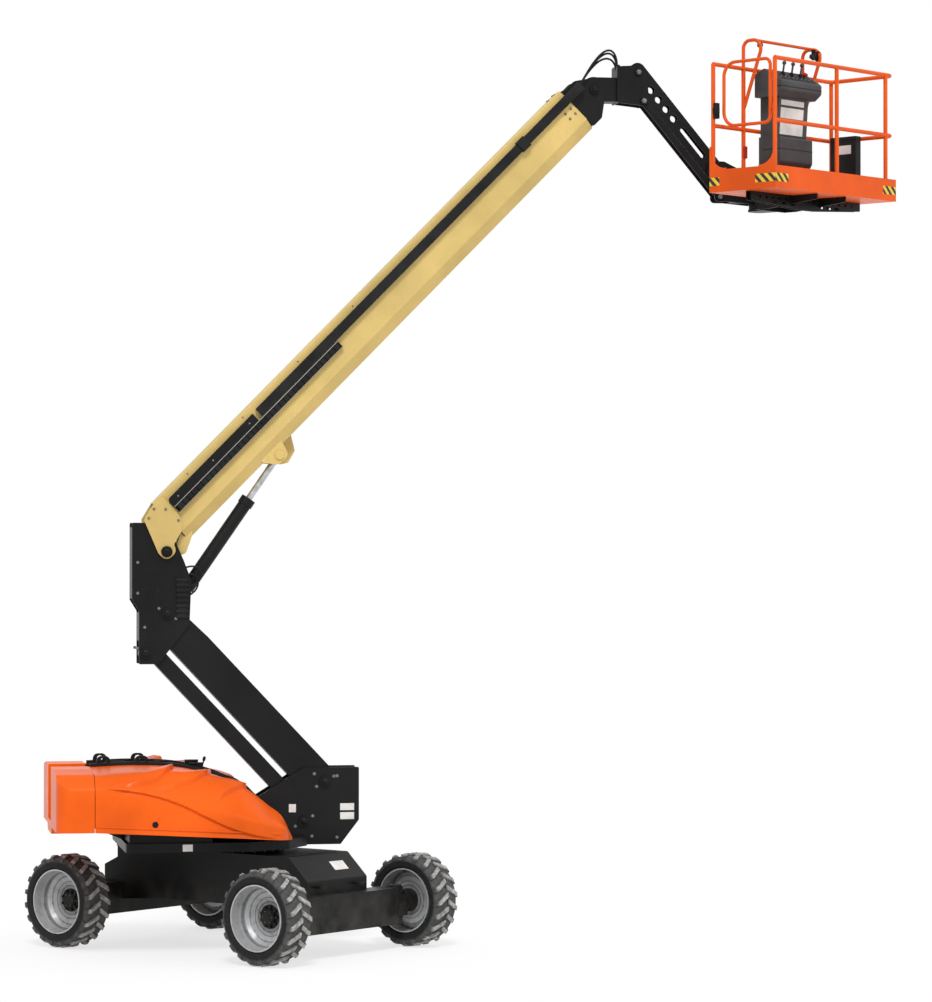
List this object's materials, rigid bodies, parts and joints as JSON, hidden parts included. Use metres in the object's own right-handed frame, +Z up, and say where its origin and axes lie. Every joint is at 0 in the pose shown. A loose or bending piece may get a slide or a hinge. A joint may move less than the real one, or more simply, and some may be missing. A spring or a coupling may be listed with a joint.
{
  "type": "articulating boom lift",
  "caption": "Wheeled articulating boom lift with a riser linkage, telescopic upper boom, levelled jib and a turning work platform.",
  "frame": {"origin": "bottom centre of the bounding box, on the ground under the machine", "axes": "+Z up; +X the way the raised boom reaches; +Y to the left of the boom; the chassis stands turned 48 degrees clockwise under it"},
  "size_m": [7.8816, 3.8328, 8.116],
  "materials": {
    "body_orange": "gloss paint",
    "platform_orange": "gloss paint",
    "boom_cream": "semi-gloss paint",
    "frame_black": "semi-gloss paint",
    "rod_chrome": "polished",
    "tyre_rubber": "dusty tread over black sidewalls",
    "rim_silver": "satin paint",
    "tray_grey": "satin paint",
    "pad_plastic": "moulded",
    "console_grey": "moulded",
    "bay_dark": "satin paint"
  },
  "bodies": {
    "chassis": {"chassis_frame": "frame_black", "front_axle": "frame_black", "rear_axle": "frame_black", "swing_bearing": "frame_black"},
    "steer_left": {"knuckle_left": "frame_black"},
    "steer_right": {"knuckle_right": "frame_black"},
    "wheel_front_left": {"tyre_front_left": "tyre_rubber", "rim_front_left": "rim_silver", "hub_front_left": "frame_black"},
    "wheel_front_right": {"tyre_front_right": "tyre_rubber", "rim_front_right": "rim_silver", "hub_front_right": "frame_black"},
    "wheel_rear_left": {"tyre_rear_left": "tyre_rubber", "rim_rear_left": "rim_silver", "hub_rear_left": "frame_black"},
    "wheel_rear_right": {"tyre_rear_right": "tyre_rubber", "rim_rear_right": "rim_silver", "hub_rear_right": "frame_black"},
    "turntable": {"turntable_base": "frame_black", "spine": "frame_black", "counterweight": "body_orange", "pedestal": "frame_black", "power_pack": "bay_dark", "tank_block": "bay_dark"},
    "hood_lid_left": {"hood_left": "body_orange"},
    "hood_lid_right": {"hood_right": "body_orange"},
    "riser_arm": {"riser": "frame_black"},
    "riser_strut": {"riser_link": "frame_black"},
    "upright_head": {"upright": "frame_black"},
    "boom": {"boom_base": "boom_cream", "hose_tray": "tray_grey", "power_track": "pad_plastic", "tube_clamp": "frame_black", "wear_pads": "pad_plastic"},
    "lift_rod_body": {"lift_rod": "rod_chrome"},
    "lift_barrel_body": {"lift_barrel": "frame_black"},
    "fly": {"fly_tube": "boom_cream", "fly_nose": "frame_black", "push_tube": "frame_black"},
    "yoke_body": {"yoke": "frame_black"},
    "jib": {"jib_beam": "frame_black"},
    "jib_strut": {"jib_link": "frame_black"},
    "jib_end": {"jib_head": "frame_black"},
    "platform": {"platform_support": "frame_black", "platform_deck": "platform_orange", "guard_rails": "platform_orange", "gate_hinges": "platform_orange", "console": "console_grey", "document_box": "pad_plastic"},
    "gate_body": {"gate": "platform_orange"}
  },
  "joints": [
    {"name": "steer_left_turn", "type": "hinge", "parent": "chassis", "child": "steer_left", "pos_m": [-0.72595, -0.37767, 0.4], "axis": [0, 0, 1], "range_deg": [-35, 35]},
    {"name": "steer_right_turn", "type": "hinge", "parent": "chassis", "child": "steer_right", "pos_m": [-1.81837, -1.36129, 0.4], "axis": [0, 0, 1], "range_deg": [-35, 35]},
    {"name": "wheel_front_left_spin", "type": "hinge", "parent": "steer_left", "child": "wheel_front_left", "pos_m": [-0.53645, -0.20704, 0.412], "axis": [0.7431, 0.6691, 0], "continuous": true},
    {"name": "wheel_front_right_spin", "type": "hinge", "parent": "steer_right", "child": "wheel_front_right", "pos_m": [-2.00787, -1.53192, 0.412], "axis": [0.7431, 0.6691, 0], "continuous": true},
    {"name": "wheel_rear_left_spin", "type": "hinge", "parent": "chassis", "child": "wheel_rear_left", "pos_m": [-2.10221, 1.53192, 0.412], "axis": [0.7431, 0.6691, 0], "continuous": true},
    {"name": "wheel_rear_right_spin", "type": "hinge", "parent": "chassis", "child": "wheel_rear_right", "pos_m": [-3.57364, 0.20704, 0.412], "axis": [0.7431, 0.6691, 0], "continuous": true},
    {"name": "swing", "type": "hinge", "parent": "chassis", "child": "turntable", "pos_m": [-2.05504, 0, 0.9], "axis": [0, 0, 1], "range_deg": [-228, 132]},
    {"name": "hood_left_open", "type": "hinge", "parent": "turntable", "child": "hood_lid_left", "pos_m": [-2.65504, 0.211, 1.638], "axis": [1, 0, 0], "range_deg": [0, 50]},
    {"name": "hood_right_open", "type": "hinge", "parent": "turntable", "child": "hood_lid_right", "pos_m": [-2.65504, -0.211, 1.638], "axis": [-1, 0, 0], "range_deg": [0, 50]},
    {"name": "riser_lift", "type": "hinge", "parent": "turntable", "child": "riser_arm", "pos_m": [-1.31804, 0, 1.462], "axis": [0, 1, 0], "range_deg": [-41.8, 15]},
    {"name": "riser_link_turn", "type": "hinge", "parent": "turntable", "child": "riser_strut", "pos_m": [-1.50804, 0, 1.112], "axis": [0, 1, 0], "range_deg": [-41.8, 15]},
    {"name": "upright_level", "type": "hinge", "parent": "riser_arm", "child": "upright_head", "pos_m": [-2.72136, 0, 2.95639], "axis": [0, 1, 0], "range_deg": [-15, 41.8]},
    {"name": "boom_lift", "type": "hinge", "parent": "upright_head", "child": "boom", "pos_m": [-2.73036, 0, 3.50139], "axis": [0, -1, 0], "range_deg": [-45.5, 29.5]},
    {"name": "lift_rod_turn", "type": "hinge", "parent": "boom", "child": "lift_rod_body", "pos_m": [-1.721, 0, 4.36017], "axis": [0, -1, 0], "range_deg": [-1.97, 2.93]},
    {"name": "lift_barrel_slide", "type": "slide", "parent": "lift_rod_body", "child": "lift_barrel_body", "axis": [-0.5665, 0, -0.8241], "range_m": [-0.2799, 0.1822]},
    {"name": "telescope", "type": "slide", "parent": "boom", "child": "fly", "axis": [0.7009, 0, 0.7133], "range_m": [0, 2.9]},
    {"name": "yoke_level", "type": "hinge", "parent": "fly", "child": "yoke_body", "pos_m": [1.13312, 0, 7.6683], "axis": [0, -1, 0], "range_deg": [-29.5, 45.5]},
    {"name": "jib_lift", "type": "hinge", "parent": "yoke_body", "child": "jib", "pos_m": [1.54496, 0, 7.84], "axis": [0, -1, 0], "range_deg": [-9.5, 134.5]},
    {"name": "jib_link_turn", "type": "hinge", "parent": "yoke_body", "child": "jib_strut", "pos_m": [1.59496, 0, 7.58], "axis": [0, -1, 0], "range_deg": [-9.5, 134.5]},
    {"name": "jib_head_level", "type": "hinge", "parent": "jib", "child": "jib_end", "pos_m": [2.25101, 0, 6.9835], "axis": [0, -1, 0], "range_deg": [-134.5, 9.5]},
    {"name": "platform_turn", "type": "hinge", "parent": "jib_end", "child": "platform", "pos_m": [2.68496, 0, 6.7], "axis": [0, 0, 1], "range_deg": [-37.5, 142.5]},
    {"name": "gate_open", "type": "hinge", "parent": "platform", "child": "gate_body", "pos_m": [2.52566, -1.15582, 7.3], "axis": [0, 0, -1], "range_deg": [0, 80]}
  ],
  "couplings": [
    {"joint": "steer_right_turn", "follows": "steer_left_turn", "ratio": 1},
    {"joint": "riser_link_turn", "follows": "riser_lift", "ratio": 1},
    {"joint": "upright_level", "follows": "riser_lift", "ratio": -1},
    {"joint": "lift_rod_turn", "follows": "boom_lift", "ratio": -0.06},
    {"joint": "lift_barrel_slide", "follows": "boom_lift", "m_per_rad": 0.35},
    {"joint": "yoke_level", "follows": "boom_lift", "ratio": -1},
    {"joint": "jib_link_turn", "follows": "jib_lift", "ratio": 1},
    {"joint": "jib_head_level", "follows": "jib_lift", "ratio": -1}
  ]
}
